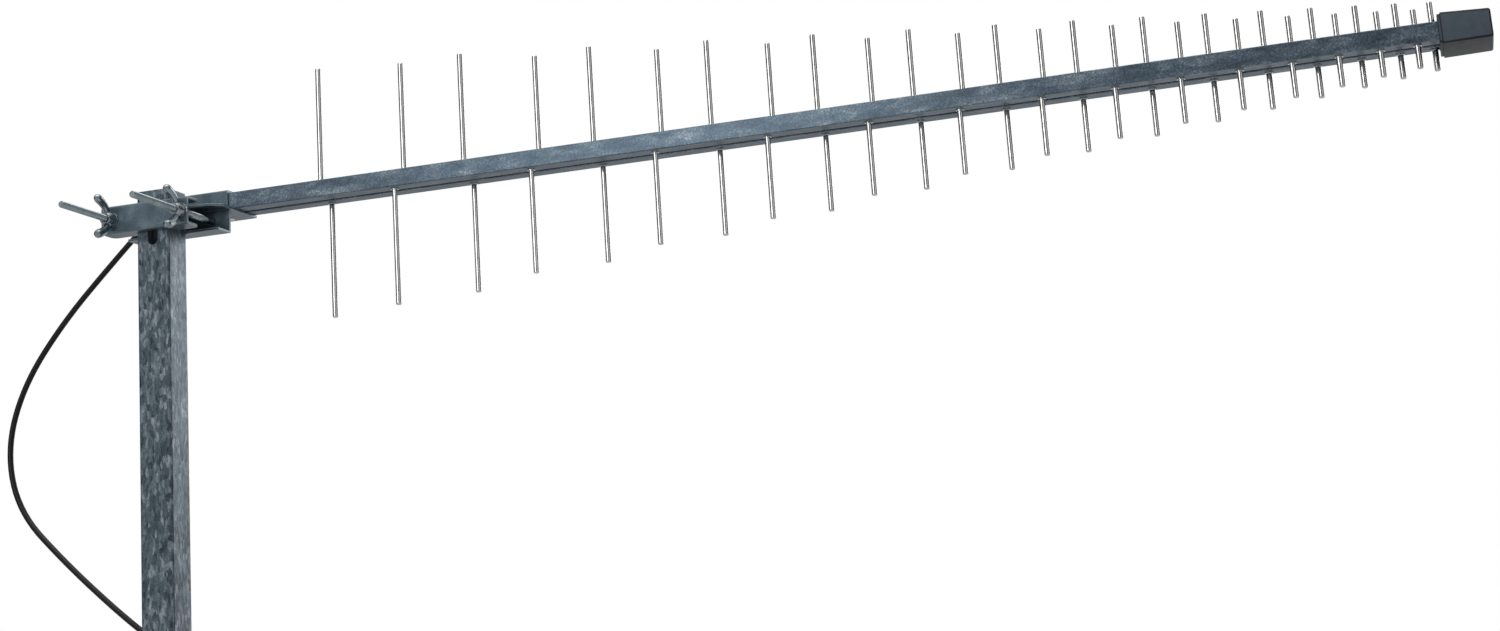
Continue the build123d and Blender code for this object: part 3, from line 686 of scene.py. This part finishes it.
@dataclass
class FeedCable:
    """The feed cable from its gland to the plug, with its put-away turns behind the mast."""

    shop: Workshop
    diameter: float = 5.0 * MM
    length: float = 1.47
    turns: int = 5
    points_per_turn: int = 16
    coil_middle: tuple[float, float, float] = (-0.028, 0.0215, 0.1715)
    coil_radius: float = 28.0 * MM
    layer: float = 5.3 * MM
    inner_bulge: float = 2.8 * MM
    # The route, chosen point by point: out of the gland, one wide bow, in to the coil.
    route: tuple[tuple[float, float, float], ...] = (
        (-0.012, 0.051, 0.5965),
        (-0.035, 0.051, 0.5965),
        (-0.077, 0.048, 0.556),
        (-0.123, 0.0435, 0.508),
        (-0.158, 0.037, 0.455),
        (-0.171, 0.032, 0.400),
        (-0.157, 0.0285, 0.345),
        (-0.112, 0.025, 0.299),
        (-0.060, 0.0235, 0.252),
        (-0.022, 0.024, 0.2215),
        (0.000, 0.02415, 0.197),
        (0.0052, 0.02415, 0.181),
    )
    tail: tuple[tuple[float, float, float], ...] = (
        (0.0053, 0.01885, 0.160),
        (0.0048, 0.0192, 0.148),
        (0.0022, 0.0240, 0.136),
        (0.0010, 0.0270, 0.126),
        (0.0010, 0.0270, 0.1155),
    )

    def _turns(self) -> np.ndarray:
        """The coil's points.

        The angle falls steadily from the ring's right side. In the back layer the radius shrinks by one
        diameter a turn, one turn crosses to the front layer with a small bulge inwards, and then the radius
        grows again, so that the cable comes in and goes out on the outside.
        """
        share = np.arange(0, self.turns * self.points_per_turn + 1) / self.points_per_turn
        slots_radius = np.array((1, 0, -1, -1, 0, 1)) * self.layer
        slots_depth = np.array((1, 1, 1, -1, -1, -1)) * self.layer / 2
        knots = np.arange(self.turns + 1)
        crossing = np.clip(share - 2, 0, 1)
        radius = self.coil_radius + np.interp(share, knots, slots_radius)
        radius -= self.inner_bulge * np.sin(math.pi * crossing)
        # A quadratic spline cuts inside its control points by about this much.
        radius /= (1 + math.cos(2 * math.pi / self.points_per_turn)) / 2 * 0.5 + 0.5
        angle = -2 * math.pi * share
        x, y, z = self.coil_middle
        return np.stack(
            (
                x + radius * np.cos(angle),
                y + np.interp(share, knots, slots_depth),
                z + radius * np.sin(angle),
            ),
            axis=-1,
        )

    def build(self) -> None:
        points = np.concatenate((np.array(self.route), self._turns(), np.array(self.tail)))
        curve = bpy.data.curves.new("feed_cable_jacket", "CURVE")
        curve.dimensions = "3D"
        curve.bevel_depth = self.diameter / 2
        curve.bevel_resolution = 5
        curve.use_fill_caps = True
        spline = curve.splines.new("NURBS")
        spline.points.add(len(points) - 1)
        spline.points.foreach_set("co", np.column_stack((points, np.ones(len(points)))).ravel())
        spline.order_u = 3
        spline.use_endpoint_u = True
        spline.resolution_u = 8
        piece = bpy.data.objects.new("feed_cable_jacket", curve)
        bpy.context.scene.collection.objects.link(piece)
        self.shop.fit(piece, "head", "cable_jacket", "feed_cable", "cable_coil", "cable_tail")


@dataclass
class CableFittings:
    """The gland at the boom's end, and the turned connector at the cable's end."""

    shop: Workshop
    rib_count: int = 4
    rib_depth: float = 0.5 * MM
    knurls: int = 28
    knurl_depth: float = 0.35 * MM
    thread_pitch: float = 1.06 * MM
    cable_radius: float = 2.5 * MM

    def build(self) -> None:
        """Build the three fittings."""
        self._gland()
        self._body()
        self._ring_nut()

    def _gland(self) -> None:
        """Turn the tapered gland, its radius falling evenly with a cosine of rings cut into it."""
        low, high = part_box("cable_gland")
        length = high.x - low.x
        root = (high.z - low.z) / 2
        tip = 3.8 * MM
        share = np.linspace(0, 1, 41)
        ribs = self.rib_depth * (1 - np.cos(2 * math.pi * self.rib_count * share)) / 2
        radius = root + (tip - root) * share - ribs * np.sin(math.pi * share)
        outside = np.column_stack((radius, share * length))
        bore = self.cable_radius + 0.02 * MM
        inside = np.array(((tip - 0.6 * MM, length), (bore, length), (bore, 0.0)))
        profile = np.concatenate((outside, inside))
        origin = Vector((high.x, (low.y + high.y) / 2, (low.z + high.z) / 2))
        rings = turned_rings(profile, 32, origin, Vector((-1, 0, 0)), Vector((0, 0, 1)))
        piece = mesh_from_rings("ribbed_gland", rings, wrap=True)
        self.shop.fit(piece, "head", "black_rubber", "cable_gland")

    def _body(self) -> None:
        """Turn the connector body from a profile of steps, with crimp rings on its ferrule."""
        low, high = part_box("connector_body")
        height = high.z - low.z
        steps_mm = [(2.55, 0.0), (3.3, 0.0), (3.6, 0.3)]
        steps_mm += [(3.6 - 0.3 * (i % 2), 1.5 + 1.1 * i) for i in range(8)]
        steps_mm += [
            (3.6, 11.4), (3.6, 12.0), (5.6, 12.0), (6.5, 12.9), (6.5, 16.0), (6.1, 16.3), (6.1, 17.4),
            (6.5, 17.7), (6.5, 23.6), (6.2, 24.0), (4.0, 24.0), (4.0, 27.3), (6.95, 27.3), (6.95, 29.5),
            (4.0, 29.5), (4.0, 32.6), (3.7, height / MM), (2.8, height / MM), (2.8, 28.0), (0.6, 28.0),
        ]
        profile = np.array(steps_mm) * MM
        origin = Vector(((low.x + high.x) / 2, (low.y + high.y) / 2, high.z))
        rings = turned_rings(profile, 40, origin, Vector((0, 0, -1)), Vector((1, 0, 0)))
        piece = mesh_from_rings("turned_connector_body", rings, wrap=False)
        self.shop.fit(piece, "head", "nickel_plate", "connector_body")

    def _ring_nut(self) -> None:
        """Turn the ring nut: outside, its radius dips with a cosine of the angle; inside, it is threaded."""
        low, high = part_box("connector_nut")
        outer = (high.x - low.x) / 2
        length = high.z - low.z
        around = self.knurls * 6
        turn = np.arange(around) / around
        knurl = self.knurl_depth * (1 - np.cos(2 * math.pi * self.knurls * turn)) / 2
        heights = np.array((0.0, 0.6, 1.2, 1.21, 7.0, 12.8, 12.81, length / MM - 0.6, length / MM)) * MM
        base = outer - np.array((0.8, 0.0, 0.0, 0.0, 0.0, 0.0, 0.5, 0.5, 1.2)) * MM
        cut = np.array((0, 0, 0, 1, 1, 1, 0, 0, 0))[:, None] * knurl[None, :]
        outside = np.stack((base[:, None] - cut, np.repeat(heights[:, None], around, axis=1)), axis=-1)
        bore = 7.95 * MM
        depth = np.arange(length - 0.5 * MM, 3.0 * MM, -self.thread_pitch / 4)
        wave = 0.3 * MM * (1 - np.abs(2 * ((depth / self.thread_pitch) % 1) - 1))
        inside = [(bore + 0.6 * MM, length)] + list(zip(bore + wave, depth))
        inside += [(bore, 3.0 * MM), (4.06 * MM, 3.0 * MM), (4.06 * MM, 0.0)]
        inside_rings = np.repeat(np.array(inside)[:, None, :], around, axis=1)
        profile = np.concatenate((outside, inside_rings))
        origin = Vector(((low.x + high.x) / 2, (low.y + high.y) / 2, high.z))
        rings = turned_rings(profile, around, origin, Vector((0, 0, -1)), Vector((1, 0, 0)))
        piece = mesh_from_rings("knurled_ring_nut", rings, wrap=True)
        self.shop.fit(piece, "ring_nut", "nickel_plate", "connector_nut")


# ---- studio -------------------------------------------------------------------------------------


@dataclass
class Studio:
    """Camera, floor, soft lights and the surroundings that the metal reflects."""

    camera_place: tuple[float, float, float] = (1.0392, -1.7746, 0.1201)
    yaw: float = 13.765
    pitch: float = 13.006
    roll: float = 4.579
    lens: float = 56.77
    shift: tuple[float, float] = (-0.0640, -0.0992)
    floor_half: float = 8.0
    floor_drop: float = 0.5 * MM
    backdrop: float = 1.0
    glow: float = 0.85
    lights: tuple[tuple[str, tuple[float, float, float], float, float], ...] = field(
        default=(
            ("front_softbox", (-0.25, -2.2, 1.2), 0.7, 7.0),
            ("overhead_softbox", (0.3, -0.4, 2.6), 2.0, 30.0),
            ("rim_softbox", (2.0, 3.2, 1.5), 1.6, 20.0),
        )
    )
    # Brightness round the horizon, against the cosine of the angle from the camera's side.
    surround: dict[float, str] = field(
        default_factory=lambda: {
            0.0: "ffffff",
            0.17: "ffffff",
            0.22: "0e1012",
            0.58: "0e1012",
            0.68: "c9cbcd",
            0.93: "dfe1e3",
            1.0: "6a6c6e",
        }
    )

    def build(self) -> None:
        """Set the whole studio up."""
        self._camera()
        self._floor()
        self._lights()
        self._world()
        bpy.context.scene.view_settings.view_transform = "Standard"

    def _camera(self) -> None:
        """Aim the camera: yaw turns it from +Y towards -X, pitch tilts it up, roll turns it on its axis."""
        data = bpy.data.cameras.new("camera")
        data.lens = self.lens
        data.shift_x, data.shift_y = self.shift
        camera = bpy.data.objects.new("camera", data)
        bpy.context.scene.collection.objects.link(camera)
        aim = (
            Matrix.Rotation(math.radians(self.yaw), 4, "Z")
            @ Matrix.Rotation(math.radians(90 + self.pitch), 4, "X")
            @ Matrix.Rotation(math.radians(-self.roll), 4, "Z")
        )
        camera.matrix_world = Matrix.Translation(self.camera_place) @ aim
        bpy.context.scene.camera = camera

    def _floor(self) -> None:
        """Lay a pale floor just under the mast's foot."""
        half = self.floor_half
        mesh = bpy.data.meshes.new("floor")
        level = -self.floor_drop
        corners = [(-half, -half, level), (half, -half, level), (half, half, level), (-half, half, level)]
        mesh.from_pydata(corners, [], [(0, 1, 2, 3)])
        floor = bpy.data.objects.new("floor", mesh)
        bpy.context.scene.collection.objects.link(floor)
        paint = bpy.data.materials.new("pale_floor_paint")
        paint.use_nodes = True
        paint.node_tree.nodes["Principled BSDF"].inputs["Base Color"].default_value = linear("c9cacb")
        paint.node_tree.nodes["Principled BSDF"].inputs["Roughness"].default_value = 0.8
        mesh.materials.append(paint)

    def _lights(self) -> None:
        """Hang the square softboxes, each facing the middle of the antenna."""
        middle = (Vector(CAD_BOX[0]) + Vector(CAD_BOX[1])) / 2
        for name, place, side, power in self.lights:
            data = bpy.data.lights.new(name, "AREA")
            data.shape = "SQUARE"
            data.size = side
            data.energy = power
            lamp = bpy.data.objects.new(name, data)
            lamp.location = place
            lamp.rotation_euler = (middle - Vector(place)).to_track_quat("-Z", "Y").to_euler()
            bpy.context.scene.collection.objects.link(lamp)

    def _world(self) -> None:
        """Surround the object with a white studio that has a dark flag at each side.

        Brightness depends on the cosine of the angle between a direction, laid flat, and the camera's side.
        The flags give bright rods their dark edges, and the top and the bottom are plain white.
        """
        world = bpy.data.worlds.new("studio")
        bpy.context.scene.world = world
        world.use_nodes = True
        tree = world.node_tree
        tree.nodes.clear()
        where = add_node(tree, "ShaderNodeTexCoord").outputs["Generated"]
        flat = add_node(tree, "ShaderNodeVectorMath", {0: where, 1: (1.0, 1.0, 0.0)}, operation="MULTIPLY")
        unit = add_node(tree, "ShaderNodeVectorMath", {0: flat.outputs["Vector"]}, operation="NORMALIZE")
        yaw = math.radians(self.yaw)
        toward = (math.sin(yaw), -math.cos(yaw), 0.0)
        cosine = add_node(
            tree, "ShaderNodeVectorMath", {0: unit.outputs["Vector"], 1: toward}, operation="DOT_PRODUCT"
        ).outputs["Value"]
        share = add_node(tree, "ShaderNodeMapRange", {"Value": cosine, "From Min": -1.0, "From Max": 1.0})
        level = add_node(tree, "ShaderNodeValToRGB", {"Fac": share.outputs["Result"]}, stops=self.surround)
        height = add_node(tree, "ShaderNodeSeparateXYZ", {"Vector": where}).outputs["Z"]
        steep = add_node(tree, "ShaderNodeMath", {0: height}, operation="ABSOLUTE").outputs["Value"]
        cover = add_node(
            tree, "ShaderNodeMapRange", {"Value": steep, "From Min": 0.45, "From Max": 0.8}
        ).outputs["Result"]
        colour = add_node(
            tree,
            "ShaderNodeMix",
            {"Factor": cover, "A": level.outputs["Color"], "B": linear("f0f1f2")},
            data_type="RGBA",
        )
        shining = add_node(
            tree, "ShaderNodeBackground", {"Color": colour.outputs["Result"], "Strength": self.glow}
        )
        plain = add_node(tree, "ShaderNodeBackground", {"Color": linear("ffffff"), "Strength": self.backdrop})
        looked_at = add_node(tree, "ShaderNodeLightPath").outputs["Is Camera Ray"]
        mix = add_node(
            tree,
            "ShaderNodeMixShader",
            {0: looked_at, 1: shining.outputs["Background"], 2: plain.outputs["Background"]},
        )
        add_node(tree, "ShaderNodeOutputWorld", {"Surface": mix.outputs["Shader"]})


# ---- build --------------------------------------------------------------------------------------


def main() -> None:
    """Build the studio, dress the CAD pieces and add the made pieces."""
    logging.basicConfig(level=logging.INFO, format="%(name)s: %(message)s")
    Studio().build()
    shop = Workshop()
    shop.dress_cad()
    CableFittings(shop).build()
    FeedCable(shop).build()
    WingNutClamp(shop).build()
    NoseCap(shop).build()


if __name__ == "__main__":
    main()
